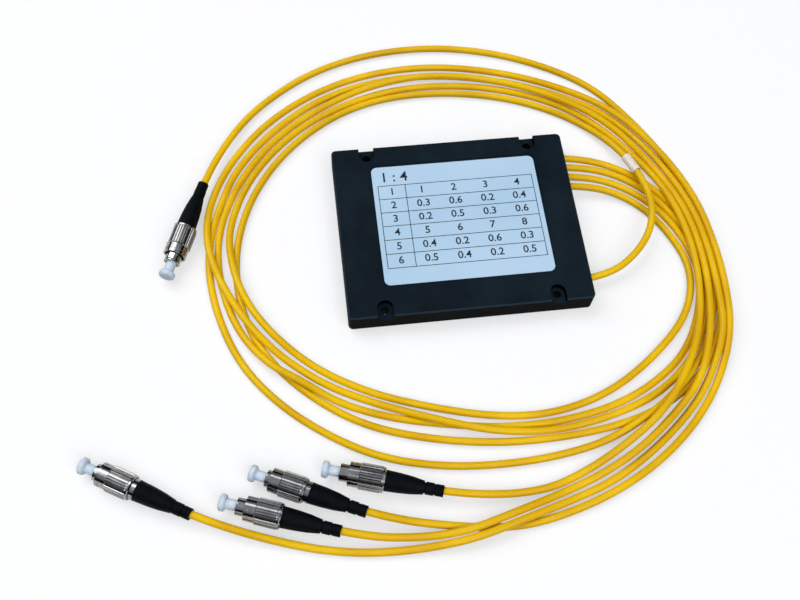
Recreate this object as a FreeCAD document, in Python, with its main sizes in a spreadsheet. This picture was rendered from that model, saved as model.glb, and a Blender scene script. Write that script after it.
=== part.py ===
import FreeCAD, Part
import math
import os
import Sketcher

# Fibre splitter module: a flat two-shell case holding a splitter core, with one input lead and
# four output leads, each ended in a threaded round plug with a dust cap. Millimetres, +Z up,
# origin at the middle of the case's underside, +X towards the side where the leads leave.

doc = FreeCAD.newDocument("fibre_splitter")

# Driving dimensions, one named cell each.
SIZES = {
    "case_length": 100.0,
    "case_width": 80.0,
    "base_height": 5.0,
    "cover_height": 5.0,
    "case_wall": 2.0,
    "case_plate": 1.6,
    "case_corner": 2.0,
    "case_edge": 0.6,
    "screw_inset_x": 15.0,
    "screw_inset_y": 4.0,
    "screw_hole": 3.4,
    "screw_notch": 6.4,
    "screw_notch_depth": 2.8,
    "screw_post_wall": 1.5,
    "label_border_x": 15.0,
    "label_border_y": 12.0,
    "label_thick": 0.15,
    "label_corner": 2.5,
    "label_margin": 1.0,
    "label_sink": 0.2,
    "label_shift_x": 1.0,
    "label_shift_y": 1.5,
    "cable_diameter": 3.0,
    "cable_clearance": 0.1,
    "cable_inside": 10.0,
    "cable_straight": 18.0,
    "cable_in_boot": 9.0,
    "cable_before_boot": 8.0,
    "exit_pitch": 4.8,
    "exit_inset": 9.6,
    "input_inset": 10.5,
    "clamp_length": 6.0,
    "clamp_side": 1.6,
    "clamp_set_in": 1.0,
    "core_length": 40.0,
    "core_side": 4.0,
    "core_corner": 0.4,
    "core_room": 18.0,
    "core_shift": 8.0,
    "loop_gap": 2.0,
    "loop_corner": 6.0,
    "fibre_diameter": 0.9,
    "fibre_clearance": 0.1,
    "fibre_gap": 0.11,
    "boot_length": 22.0,
    "boot_front": 8.0,
    "boot_shoulder": 7.5,
    "boot_waist": 6.7,
    "boot_neck": 5.2,
    "boot_ring": 4.8,
    "boot_groove": 4.1,
    "boot_collar": 4.5,
    "boot_collar_to": 3.1,
    "boot_ring_from": 3.7,
    "boot_ring_to": 6.8,
    "boot_neck_at": 7.4,
    "boot_waist_at": 12.0,
    "boot_shoulder_at": 16.5,
    "boot_socket_at": 11.0,
    "boot_socket": 5.6,
    "crimp_wall": 0.55,
    "tail_diameter": 4.3,
    "tail_bore": 3.2,
    "tail_land": 3.0,
    "collar_diameter": 8.2,
    "collar_length": 1.6,
    "barrel_diameter": 6.6,
    "barrel_wall": 1.0,
    "barrel_length": 17.1,
    "barrel_floor": 2.0,
    "key_width": 2.0,
    "key_rise": 0.45,
    "key_length": 5.0,
    "key_set_back": 0.6,
    "ring_width": 1.2,
    "ring_depth": 0.35,
    "ring_rise": 0.45,
    "ring_clearance": 0.05,
    "ferrule_diameter": 2.5,
    "ferrule_set_in": 1.0,
    "ferrule_flange_length": 2.0,
    "ferrule_proud": 2.0,
    "ferrule_bevel": 0.4,
    "nut_length": 13.5,
    "nut_wall": 0.9,
    "nut_front_wall": 0.65,
    "nut_rim_wall": 0.65,
    "nut_rim_length": 1.0,
    "nut_front_length": 4.0,
    "nut_bevel": 0.3,
    "nut_line_at": 1.3,
    "nut_line_width": 0.3,
    "nut_line_depth": 0.2,
    "nut_fit": 0.1,
    "nut_clearance": 0.25,
    "nut_relief": 0.1,
    "nut_lip_length": 1.2,
    "nut_travel": 3.0,
    "nut_gap": 0.2,
    "knurl_grooves": 32,
    "knurl_depth": 0.4,
    "knurl_width": 0.6,
    "cap_fit": 0.05,
    "cap_clearance": 0.3,
    "cap_stem_length": 8.4,
    "cap_stem_showing": 4.3,
    "cap_end": 1.2,
    "cap_flange": 6.5,
    "cap_flange_length": 2.4,
    "cap_bevel": 0.5,
    "marker_length": 9.0,
    "marker_wall": 0.25,
    "marker_clearance": 0.25,
}
sheet = doc.addObject("Spreadsheet::Sheet", "Sizes")
for row, (name, size) in enumerate(SIZES.items(), 1):
    sheet.set(f"A{row}", name)
    sheet.set(f"B{row}", str(size))
    sheet.setAlias(f"B{row}", name)
doc.recompute()


def number(expression):
    """Value of an expression in the sheet's named cells."""
    return float(sheet.evalExpression(expression))


def plane(body, role):
    """One of a body's own origin planes or axes."""
    return next(item for item in body.Origin.OriginFeatures if item.Role == role)


def new_body(label, placement):
    body = doc.addObject("PartDesign::Body", label)
    body.Label = label
    body.Placement = placement
    return body


def new_sketch(body, name, role, lift=None):
    """Sketch on one of the body's own planes, lifted along the plane's normal."""
    sketch = body.newObject("Sketcher::SketchObject", name)
    sketch.AttachmentSupport = [(plane(body, role), "")]
    sketch.MapMode = "FlatFace"
    if lift:
        sketch.setExpression("AttachmentOffset.Base.z", lift)
    return sketch


def outline(sketch, corners):
    """Closed polygon whose corners are bound to the sheet."""
    first = sketch.GeometryCount
    spots = [FreeCAD.Vector(number(u), number(v), 0) for u, v in corners]
    count = len(spots)
    for index in range(count):
        sketch.addGeometry(Part.LineSegment(spots[index], spots[(index + 1) % count]), False)
    for index, (u, v) in enumerate(corners):
        line = first + index
        before = first + (index - 1) % count
        sketch.addConstraint(Sketcher.Constraint("Coincident", before, 2, line, 1))
        across = sketch.addConstraint(Sketcher.Constraint("DistanceX", -1, 1, line, 1, spots[index].x))
        sketch.setExpression(f"Constraints[{across}]", u)
        along = sketch.addConstraint(Sketcher.Constraint("DistanceY", -1, 1, line, 1, spots[index].y))
        sketch.setExpression(f"Constraints[{along}]", v)


def rectangle(sketch, middle_x, middle_y, length, width):
    low_x, high_x = f"{middle_x} - ({length}) / 2", f"{middle_x} + ({length}) / 2"
    low_y, high_y = f"{middle_y} - ({width}) / 2", f"{middle_y} + ({width}) / 2"
    outline(sketch, [(low_x, low_y), (high_x, low_y), (high_x, high_y), (low_x, high_y)])


def circle(sketch, x, y, diameter):
    spot = FreeCAD.Vector(number(x), number(y), 0)
    round_line = Part.Circle(spot, FreeCAD.Vector(0, 0, 1), number(diameter) / 2)
    index = sketch.addGeometry(round_line, False)
    across = sketch.addConstraint(Sketcher.Constraint("DistanceX", -1, 1, index, 3, spot.x))
    sketch.setExpression(f"Constraints[{across}]", x)
    along = sketch.addConstraint(Sketcher.Constraint("DistanceY", -1, 1, index, 3, spot.y))
    sketch.setExpression(f"Constraints[{along}]", y)
    size = sketch.addConstraint(Sketcher.Constraint("Diameter", index, number(diameter)))
    sketch.setExpression(f"Constraints[{size}]", diameter)


def pad(body, sketch, length, reverse=False):
    feature = body.newObject("PartDesign::Pad", sketch.Name + "_pad")
    feature.Profile = sketch
    feature.setExpression("Length", length)
    feature.Reversed = reverse
    doc.recompute()
    return feature


def pocket(body, sketch, length, reverse=False):
    """Cut of a set depth; a cut that takes nothing away is a fault."""
    before = body.Shape.Volume
    feature = body.newObject("PartDesign::Pocket", sketch.Name + "_cut")
    feature.Profile = sketch
    feature.setExpression("Length", length)
    feature.Reversed = reverse
    doc.recompute()
    if body.Shape.Volume > before - 1e-6:
        raise RuntimeError(sketch.Name + " cuts nothing")
    return feature


def fillet(body, edges, radius, kind="PartDesign::Fillet"):
    """Round or bevel the tip's edges that the test picks."""
    tip = body.Tip
    names = [f"Edge{i}" for i, edge in enumerate(tip.Shape.Edges, 1) if edges(edge)]
    feature = body.newObject(kind, body.Name + ("_bevel" if "Chamfer" in kind else "_round"))
    feature.Base = (tip, names)
    feature.setExpression("Radius" if "Fillet" in kind else "Size", radius)
    doc.recompute()
    return feature


def turned(label, placement, profile):
    """Body of revolution about its own X axis; profile pairs are distance along and radius."""
    body = new_body(label, placement)
    sketch = new_sketch(body, label + "_profile", "XY_Plane")
    outline(sketch, profile)
    feature = body.newObject("PartDesign::Revolution", label + "_turn")
    feature.Profile = sketch
    feature.ReferenceAxis = (plane(body, "X_Axis"), [""])
    feature.Angle = 360
    doc.recompute()
    return body


HERE = FreeCAD.Placement()
pieces = []

# Case: two moulded shells that meet at the leads' height. The cover has two open notches in each long
# side, and a screw goes down from the floor of each through both shells.
OUTPUT_1 = "Sizes.case_width / 2 - Sizes.exit_inset"
INPUT = "0 - Sizes.case_width / 2 + Sizes.input_inset"
EXITS = [f"{OUTPUT_1} - {i} * Sizes.exit_pitch" for i in range(4)] + [INPUT]
SCREW_X = "(Sizes.case_length / 2 - Sizes.screw_inset_x)"
SCREW_Y = "(Sizes.case_width / 2 - Sizes.screw_inset_y)"
CABLE_HOLE = "Sizes.cable_diameter + 2 * Sizes.cable_clearance"
LABEL_LENGTH = "(Sizes.case_length - 2 * Sizes.label_border_x)"
LABEL_WIDTH = "(Sizes.case_width - 2 * Sizes.label_border_y)"
SCREWS = [(sx, sy) for sx in (-1, 1) for sy in (-1, 1)]


def at_corner(edge):
    """Upright edges at the four corners of the case."""
    box = edge.BoundBox
    return (box.XLength < 1e-6 and box.YLength < 1e-6
            and abs(abs(box.XMin) - number("Sizes.case_length / 2")) < 1e-6
            and abs(abs(box.YMin) - number("Sizes.case_width / 2")) < 1e-6)


def recess_corner(edge):
    """Upright edges at the four corners of the label's recess."""
    return (edge.BoundBox.ZLength > edge.Length - 1e-6
            and abs(edge.Length - number("Sizes.label_sink")) < 1e-6)


def shell(label, placement, height, plate_down):
    """One half of the case, with its corners rounded, hollowed and with its four screw posts."""
    body = new_body(label, placement)
    block = new_sketch(body, label + "_block", "XY_Plane")
    rectangle(block, "0", "0", "Sizes.case_length", "Sizes.case_width")
    pad(body, block, height)
    fillet(body, at_corner, "Sizes.case_corner")
    outer_z = 0.0 if plate_down else number(height)
    fillet(body, lambda edge: abs(edge.BoundBox.ZMin - outer_z) < 1e-6 and edge.BoundBox.ZLength < 1e-6,
           "Sizes.case_edge", "PartDesign::Chamfer")
    inner_length = "Sizes.case_length - 2 * Sizes.case_wall"
    inner_width = "Sizes.case_width - 2 * Sizes.case_wall"
    depth = f"{height} - Sizes.case_plate"
    hollow = new_sketch(body, label + "_hollow", "XY_Plane", "Sizes.case_plate" if plate_down else depth)
    rectangle(hollow, "0", "0", inner_length, inner_width)
    pocket(body, hollow, depth, reverse=plate_down)
    post_width = "Sizes.screw_notch + 2 * Sizes.screw_post_wall"
    post_reach = f"(Sizes.screw_inset_y + ({post_width}) / 2)"
    posts = new_sketch(body, label + "_posts", "XY_Plane", "Sizes.case_plate" if plate_down else None)
    for sx, sy in SCREWS:
        middle_y = f"{sy} * (Sizes.case_width - Sizes.case_wall - {post_reach}) / 2"
        rectangle(posts, f"{sx} * {SCREW_X}", middle_y, post_width,
                  f"{post_reach} - Sizes.case_wall")
    pad(body, posts, depth)
    return body


base = shell("case_base", HERE, "Sizes.base_height", True)
cover = shell("case_cover", HERE, "Sizes.cover_height", False)
cover.setExpression("Placement.Base.z", "Sizes.base_height")
for body, height in ((base, "Sizes.base_height"), (cover, "Sizes.cover_height")):
    holes = new_sketch(body, body.Label + "_holes", "XY_Plane")
    for sx, sy in SCREWS:
        circle(holes, f"{sx} * {SCREW_X}", f"{sy} * {SCREW_Y}", "Sizes.screw_hole")
    pocket(body, holes, height, reverse=True)
sinks = new_sketch(cover, "case_cover_sinks", "XY_Plane", "Sizes.cover_height")
notches = new_sketch(cover, "case_cover_notches", "XY_Plane", "Sizes.cover_height")
for sx, sy in SCREWS:
    circle(sinks, f"{sx} * {SCREW_X}", f"{sy} * {SCREW_Y}", "Sizes.screw_notch")
    rectangle(notches, f"{sx} * {SCREW_X}", f"{sy} * ({SCREW_Y} + Sizes.screw_inset_y)", "Sizes.screw_notch",
              "2 * Sizes.screw_inset_y")
pocket(cover, sinks, "Sizes.screw_notch_depth")
pocket(cover, notches, "Sizes.screw_notch_depth")
recess = new_sketch(cover, "case_cover_recess", "XY_Plane", "Sizes.cover_height")
rectangle(recess, "Sizes.label_shift_x", "Sizes.label_shift_y", f"{LABEL_LENGTH} + 2 * Sizes.label_margin",
          f"{LABEL_WIDTH} + 2 * Sizes.label_margin")
pocket(cover, recess, "Sizes.label_sink")
fillet(cover, recess_corner, "Sizes.label_corner + Sizes.label_margin")

# The leads pass between the shells through round holes, half in each.
for body, seam in ((base, "Sizes.base_height"), (cover, "0")):
    mouths = new_sketch(body, body.Label + "_mouths", "YZ_Plane", "Sizes.case_length / 2 - 2 * Sizes.case_wall")
    for exit_y in EXITS:
        circle(mouths, exit_y, seam, CABLE_HOLE)
    pocket(body, mouths, "3 * Sizes.case_wall", reverse=True)
pieces += [base, cover]

# Paper label, in the cover's shallow recess.
label = new_body("label", HERE)
label.setExpression("Placement.Base.x", "Sizes.label_shift_x")
label.setExpression("Placement.Base.y", "Sizes.label_shift_y")
label.setExpression("Placement.Base.z", "Sizes.base_height + Sizes.cover_height - Sizes.label_sink")
face = new_sketch(label, "label_face", "XY_Plane")
rectangle(face, "0", "0", LABEL_LENGTH, LABEL_WIDTH)
pad(label, face, "Sizes.label_thick")
fillet(label, lambda edge: edge.BoundBox.ZLength > 1e-6, "Sizes.label_corner")
pieces.append(label)

# Splitter core: a slim steel casing bonded to the base's floor, with a clamp bar for each side's leads.
FLOOR = "Sizes.case_plate"
CORE_X = "0 - Sizes.case_length / 2 + Sizes.case_wall + Sizes.core_room + Sizes.core_length / 2"
core = new_body("splitter_core", HERE)
core.setExpression("Placement.Base.x", CORE_X)
core.setExpression("Placement.Base.y", "Sizes.core_shift")
core.setExpression("Placement.Base.z", FLOOR)
casing = new_sketch(core, "splitter_core_casing", "XY_Plane")
rectangle(casing, "0", "0", "Sizes.core_length", "Sizes.core_side")
pad(core, casing, "Sizes.core_side")
fillet(core, lambda edge: edge.BoundBox.XLength > 1.0, "Sizes.core_corner", "PartDesign::Chamfer")
pieces.append(core)

INNER_END = "Sizes.case_length / 2 - Sizes.cable_inside"


def clamp_bar(label, middle_y, width, exits):
    """Block on the base's floor with half-round seats that hold the leads at the exits' height."""
    body = new_body(label, HERE)
    body.setExpression("Placement.Base.x", f"{INNER_END} + Sizes.clamp_set_in")
    body.setExpression("Placement.Base.y", middle_y)
    body.setExpression("Placement.Base.z", FLOOR)
    block = new_sketch(body, label + "_block", "YZ_Plane")
    rectangle(block, "0", f"(Sizes.base_height - {FLOOR}) / 2", width, f"Sizes.base_height - {FLOOR}")
    pad(body, block, "Sizes.clamp_length")
    seats = new_sketch(body, label + "_seats", "YZ_Plane")
    for exit_y in exits:
        circle(seats, f"{exit_y} - ({middle_y})", f"Sizes.base_height - {FLOOR}", CABLE_HOLE)
    pocket(body, seats, "Sizes.clamp_length", reverse=True)
    return body


pieces.append(clamp_bar("output_clamp", f"{OUTPUT_1} - 1.5 * Sizes.exit_pitch",
                        "3 * Sizes.exit_pitch + Sizes.cable_diameter + 2 * Sizes.clamp_side", EXITS[:4]))
pieces.append(clamp_bar("input_clamp", INPUT,
                        "Sizes.cable_diameter + 2 * Sizes.clamp_side", EXITS[4:]))


def route_wire(points, spare=0.45):
    """Straight runs joined by tangent arcs, and the arcs' radii."""
    spots = [FreeCAD.Vector(*point) for point in points]
    edges = []
    radii = []
    start = spots[0]
    for before, corner, after in zip(spots, spots[1:], spots[2:]):
        back = (before - corner).normalize()
        onward = (after - corner).normalize()
        half_turn = (math.pi - back.getAngle(onward)) / 2
        reach = spare * min(before.distanceToPoint(corner), after.distanceToPoint(corner))
        radius = reach / math.tan(half_turn)
        radii.append(radius)
        inward = (back + onward).normalize()
        middle = corner + inward * (radius / math.cos(half_turn) - radius)
        enter, leave = corner + back * reach, corner + onward * reach
        edges.append(Part.LineSegment(start, enter).toShape())
        edges.append(Part.Arc(enter, middle, leave).toShape())
        start = leave
    edges.append(Part.LineSegment(start, spots[-1]).toShape())
    return Part.Wire(edges), radii


def route_tube(label, points, diameter):
    """Round lead along a route; a sweep does not fit a sketch on one plane, so the shape is set here."""
    wire, radii = route_wire(points)
    first = FreeCAD.Vector(*points[0])
    heading = FreeCAD.Vector(*points[1]) - first
    section = Part.Face(Part.Wire(Part.Circle(first, heading, diameter / 2).toShape()))
    tube = wire.makePipe(section)
    solid = tube if tube.ShapeType == "Solid" else tube.Solids[0]
    wanted = math.pi * diameter ** 2 / 4 * wire.Length
    print(f"{label}: length {wire.Length:.1f} mm, least radius {min(radii):.1f} mm,"
          f" volume over section times length {solid.Volume / wanted:.4f}")
    feature = doc.addObject("Part::Feature", label)
    feature.Label = label
    feature.Shape = solid
    return feature


# Bare fibre tubes inside the case: the outputs fan out from the core's front end, and the input comes
# back round from its rear end. Every place here follows the sheet.
fibre = SIZES["fibre_diameter"]
fibre_pitch = number("Sizes.fibre_diameter + Sizes.fibre_gap")
core_high = number(f"{CORE_X} + Sizes.core_length / 2")
core_low = number(f"{CORE_X} - Sizes.core_length / 2")
core_y = SIZES["core_shift"]
core_z = number(f"{FLOOR} + Sizes.core_side / 2")
lead_x = number(INNER_END)
seam_z = SIZES["base_height"]
for index in range(4):
    start = FreeCAD.Vector(core_high, core_y + (1.5 - index) * fibre_pitch, core_z)
    end = FreeCAD.Vector(lead_x, number(EXITS[index]), seam_z)
    run = end - start
    # Each tube meets the core and its lead at a slant, and stops where its end's edge is clear of them.
    slant = run.getAngle(FreeCAD.Vector(1, 0, 0))
    short = fibre / 2 * math.tan(slant) + SIZES["fibre_clearance"] / math.cos(slant)
    strand = doc.addObject("Part::Cylinder", f"output_fibre_{index + 1}")
    strand.Label = f"output_fibre_{index + 1}"
    strand.setExpression("Radius", "Sizes.fibre_diameter / 2")
    strand.Height = run.Length - 2 * short
    strand.Placement = FreeCAD.Placement(start + run * (short / run.Length),
                                         FreeCAD.Rotation(FreeCAD.Vector(0, 0, 1), run))
    pieces.append(strand)
doc.recompute()
input_y = number(INPUT)
loop_x = number("0 - Sizes.case_length / 2 + Sizes.case_wall + Sizes.loop_gap")
corner = SIZES["loop_corner"]
pieces.append(route_tube("input_fibre",
                         [(core_low, core_y, core_z), (loop_x + corner, core_y, core_z),
                          (loop_x, core_y - corner, core_z), (loop_x, input_y + 2 * corner, core_z),
                          (loop_x + corner, input_y, seam_z), (lead_x, input_y, seam_z)], fibre))

# Connector places: where the boot's rear end lies, the way the plug points, and how far forward
# on its travel the nut rests. The letter names the connector, the other name its lead.
PLUGS = {
    "a": ("input", (-105.0, 31.5), -111.0, 0.0),
    "b": ("output_1", (-114.0, -109.0), 150.0, 1.6),
    "c": ("output_2", (-50.5, -115.0), 155.0, 1.6),
    "d": ("output_4", (-21.5, -110.5), 163.0, 0.0),
    "e": ("output_3", (-60.5, -121.0), 160.0, 0.0),
}


def profile(*stations):
    """Pairs of distance along and diameter, as distance along and radius."""
    return [(along, f"({across}) / 2") for along, across in stations]


# Diameters that follow the piece they fit: the bore round the ferrule, the ring in its groove, the
# nut over the collar, the barrel and the key.
BARREL_BORE = "(Sizes.barrel_diameter - 2 * Sizes.barrel_wall)"
RING_GROOVE = "(Sizes.barrel_diameter - 2 * Sizes.ring_depth)"
NUT_LIP = "(Sizes.barrel_diameter + 2 * Sizes.nut_fit)"
NUT_SINK = "(Sizes.collar_diameter + 2 * Sizes.nut_fit)"
NUT_RIM = f"({NUT_SINK} + 2 * Sizes.nut_rim_wall)"
NUT_THREAD = "(Sizes.barrel_diameter + 2 * Sizes.key_rise + 2 * Sizes.nut_clearance)"
NUT_FRONT = f"({NUT_THREAD} + 2 * Sizes.nut_front_wall)"
NUT_LINE = f"({NUT_FRONT} - 2 * Sizes.nut_line_depth)"
NUT_RECESS = f"({NUT_THREAD} + 2 * Sizes.nut_relief)"
NUT_KNURL = f"({NUT_RECESS} + 2 * Sizes.nut_wall)"
CAP_STEM = f"({BARREL_BORE} - 2 * Sizes.cap_clearance)"
CAP_BORE = "(Sizes.ferrule_diameter + 2 * Sizes.cap_fit)"

# Stations along a plug's axis, measured forward from the boot's rear end.
TAIL = "Sizes.boot_socket_at"
CRIMP_END = "Sizes.boot_length - Sizes.tail_land"
COLLAR_END = "Sizes.boot_length + Sizes.collar_length"
TIP = "Sizes.boot_length + Sizes.barrel_length"
FLANGE_AT = "Sizes.boot_length + Sizes.barrel_floor + Sizes.ferrule_set_in"
CAP_AT = f"{TIP} + Sizes.cap_stem_showing"

# Stations along a nut, measured forward from its rear face, and the ring's place that stops its travel.
LIP_FROM = "Sizes.collar_length + Sizes.nut_gap"
LIP_TO = f"{LIP_FROM} + Sizes.nut_lip_length"
RECESS_TO = f"{LIP_TO} + Sizes.nut_travel + Sizes.ring_width + Sizes.nut_clearance"
KNURL_TO = "Sizes.nut_length - Sizes.nut_front_length"
LINE_TO = "Sizes.nut_length - Sizes.nut_line_at"
LINE_FROM = f"{LINE_TO} - Sizes.nut_line_width"
RING_AT = f"Sizes.boot_length + Sizes.nut_gap + {LIP_TO} + Sizes.nut_travel + Sizes.ring_clearance"

BOOT = profile(
    ("0", CABLE_HOLE), ("0", "Sizes.boot_collar"), ("Sizes.boot_collar_to", "Sizes.boot_collar"),
    ("Sizes.boot_collar_to", "Sizes.boot_groove"), ("Sizes.boot_ring_from", "Sizes.boot_groove"),
    ("Sizes.boot_ring_from", "Sizes.boot_ring"), ("Sizes.boot_ring_to", "Sizes.boot_ring"),
    ("Sizes.boot_ring_to", "Sizes.boot_groove"), ("Sizes.boot_neck_at", "Sizes.boot_groove"),
    ("Sizes.boot_neck_at", "Sizes.boot_neck"), ("Sizes.boot_waist_at", "Sizes.boot_waist"),
    ("Sizes.boot_shoulder_at", "Sizes.boot_shoulder"), ("Sizes.boot_length", "Sizes.boot_front"),
    ("Sizes.boot_length", "Sizes.boot_socket"), ("Sizes.boot_socket_at", "Sizes.boot_socket"),
    ("Sizes.boot_socket_at", CABLE_HOLE))
CRIMP = profile(
    (TAIL, "Sizes.tail_diameter"), (TAIL, "Sizes.tail_diameter + 2 * Sizes.crimp_wall"),
    (CRIMP_END, "Sizes.tail_diameter + 2 * Sizes.crimp_wall"), (CRIMP_END, "Sizes.tail_diameter"))
PLUG_BODY = profile(
    (TAIL, "Sizes.tail_bore"), (TAIL, "Sizes.tail_diameter"), (CRIMP_END, "Sizes.tail_diameter"),
    (CRIMP_END, "Sizes.boot_socket"), ("Sizes.boot_length", "Sizes.boot_socket"),
    ("Sizes.boot_length", "Sizes.collar_diameter"), (COLLAR_END, "Sizes.collar_diameter"),
    (COLLAR_END, "Sizes.barrel_diameter"), (RING_AT, "Sizes.barrel_diameter"), (RING_AT, RING_GROOVE),
    (f"{RING_AT} + Sizes.ring_width", RING_GROOVE), (f"{RING_AT} + Sizes.ring_width", "Sizes.barrel_diameter"),
    (TIP, "Sizes.barrel_diameter"), (TIP, BARREL_BORE), ("Sizes.boot_length + Sizes.barrel_floor", BARREL_BORE),
    ("Sizes.boot_length + Sizes.barrel_floor", "Sizes.tail_bore"))
RING_BORE = f"{RING_GROOVE} + 2 * Sizes.ring_clearance"
RING_OUTER = "Sizes.barrel_diameter + 2 * Sizes.ring_rise"
RING = profile(
    (f"{RING_AT} + Sizes.ring_clearance", RING_BORE), (f"{RING_AT} + Sizes.ring_clearance", RING_OUTER),
    (f"{RING_AT} + Sizes.ring_width - Sizes.ring_clearance", RING_OUTER),
    (f"{RING_AT} + Sizes.ring_width - Sizes.ring_clearance", RING_BORE))
FERRULE = profile(
    (FLANGE_AT, "0"), (FLANGE_AT, BARREL_BORE), (f"{FLANGE_AT} + Sizes.ferrule_flange_length", BARREL_BORE),
    (f"{FLANGE_AT} + Sizes.ferrule_flange_length", "Sizes.ferrule_diameter"),
    (f"{TIP} + Sizes.ferrule_proud - Sizes.ferrule_bevel", "Sizes.ferrule_diameter"),
    (f"{TIP} + Sizes.ferrule_proud", "Sizes.ferrule_diameter - 2 * Sizes.ferrule_bevel"),
    (f"{TIP} + Sizes.ferrule_proud", "0"))
NUT = profile(
    ("0", NUT_SINK), ("0", f"{NUT_RIM} - 2 * Sizes.nut_bevel"), ("Sizes.nut_bevel", NUT_RIM),
    ("Sizes.nut_rim_length", NUT_RIM), ("Sizes.nut_rim_length + Sizes.nut_bevel", NUT_KNURL),
    (f"{KNURL_TO} - Sizes.nut_bevel", NUT_KNURL), (KNURL_TO, NUT_FRONT),
    (LINE_FROM, NUT_FRONT), (LINE_FROM, NUT_LINE), (LINE_TO, NUT_LINE), (LINE_TO, NUT_FRONT),
    ("Sizes.nut_length", NUT_FRONT), ("Sizes.nut_length", NUT_THREAD), (RECESS_TO, NUT_THREAD),
    (RECESS_TO, NUT_RECESS), (LIP_TO, NUT_RECESS), (LIP_TO, NUT_LIP), (LIP_FROM, NUT_LIP), (LIP_FROM, NUT_SINK))
CAP = profile(
    (f"{CAP_AT} - Sizes.cap_stem_length", CAP_BORE), (f"{CAP_AT} - Sizes.cap_stem_length", CAP_STEM),
    (CAP_AT, CAP_STEM), (CAP_AT, "Sizes.cap_flange - 2 * Sizes.cap_bevel"),
    (f"{CAP_AT} + Sizes.cap_bevel", "Sizes.cap_flange"),
    (f"{CAP_AT} + Sizes.cap_flange_length - Sizes.cap_bevel", "Sizes.cap_flange"),
    (f"{CAP_AT} + Sizes.cap_flange_length", "Sizes.cap_flange - 2 * Sizes.cap_bevel"),
    (f"{CAP_AT} + Sizes.cap_flange_length", "0"), (f"{CAP_AT} - Sizes.cap_end", "0"),
    (f"{CAP_AT} - Sizes.cap_end", CAP_BORE))

# A plug lies on its nut, so its axis is half the nut's width above the ground.
axis_z = number(f"{NUT_KNURL} / 2")


def axis_place(spot, heading, ahead=0.0):
    """Placement whose X axis runs along the plug."""
    turn = FreeCAD.Rotation(FreeCAD.Vector(0, 0, 1), heading)
    origin = FreeCAD.Vector(spot[0], spot[1], axis_z)
    return FreeCAD.Placement(origin + turn.multVec(FreeCAD.Vector(ahead, 0, 0)), turn)


for letter, (lead, spot, heading, nut_rest) in PLUGS.items():
    here = axis_place(spot, heading)
    pieces.append(turned(f"boot_{letter}", here, BOOT))
    pieces.append(turned(f"crimp_sleeve_{letter}", here, CRIMP))

    plug = turned(f"plug_body_{letter}", here, PLUG_BODY)
    key = new_sketch(plug, f"plug_key_{letter}", "YZ_Plane", f"{TIP} - Sizes.key_set_back - Sizes.key_length")
    low = "(Sizes.barrel_diameter - Sizes.barrel_wall) / 2"
    high = "Sizes.barrel_diameter / 2 + Sizes.key_rise"
    rectangle(key, "0", f"(({low}) + ({high})) / 2", "Sizes.key_width", f"({high}) - ({low})")
    pad(plug, key, "Sizes.key_length")
    pieces.append(plug)

    pieces.append(turned(f"ferrule_{letter}", here, FERRULE))
    pieces.append(turned(f"clip_ring_{letter}", here, RING))

    nut_at = SIZES["boot_length"] + SIZES["nut_gap"] + nut_rest
    nut = turned(f"coupling_nut_{letter}", axis_place(spot, heading, nut_at), NUT)
    groove = new_sketch(nut, f"knurl_{letter}", "YZ_Plane", "Sizes.nut_rim_length")
    crest, foot = f"{NUT_KNURL} / 2", f"{NUT_KNURL} / 2 - Sizes.knurl_depth"
    outline(groove, [("0 - Sizes.knurl_width / 2", crest), ("0", foot), ("Sizes.knurl_width / 2", crest)])
    cut = pocket(nut, groove, f"{KNURL_TO} - Sizes.nut_rim_length", reverse=True)
    pattern = nut.newObject("PartDesign::PolarPattern", f"knurl_pattern_{letter}")
    pattern.Originals = [cut]
    pattern.Axis = (plane(nut, "X_Axis"), [""])
    pattern.Angle = 360
    pattern.setExpression("Occurrences", "Sizes.knurl_grooves")
    nut.Tip = pattern
    doc.recompute()
    pieces.append(nut)

    pieces.append(turned(f"dust_cap_{letter}", here, CAP))

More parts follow.
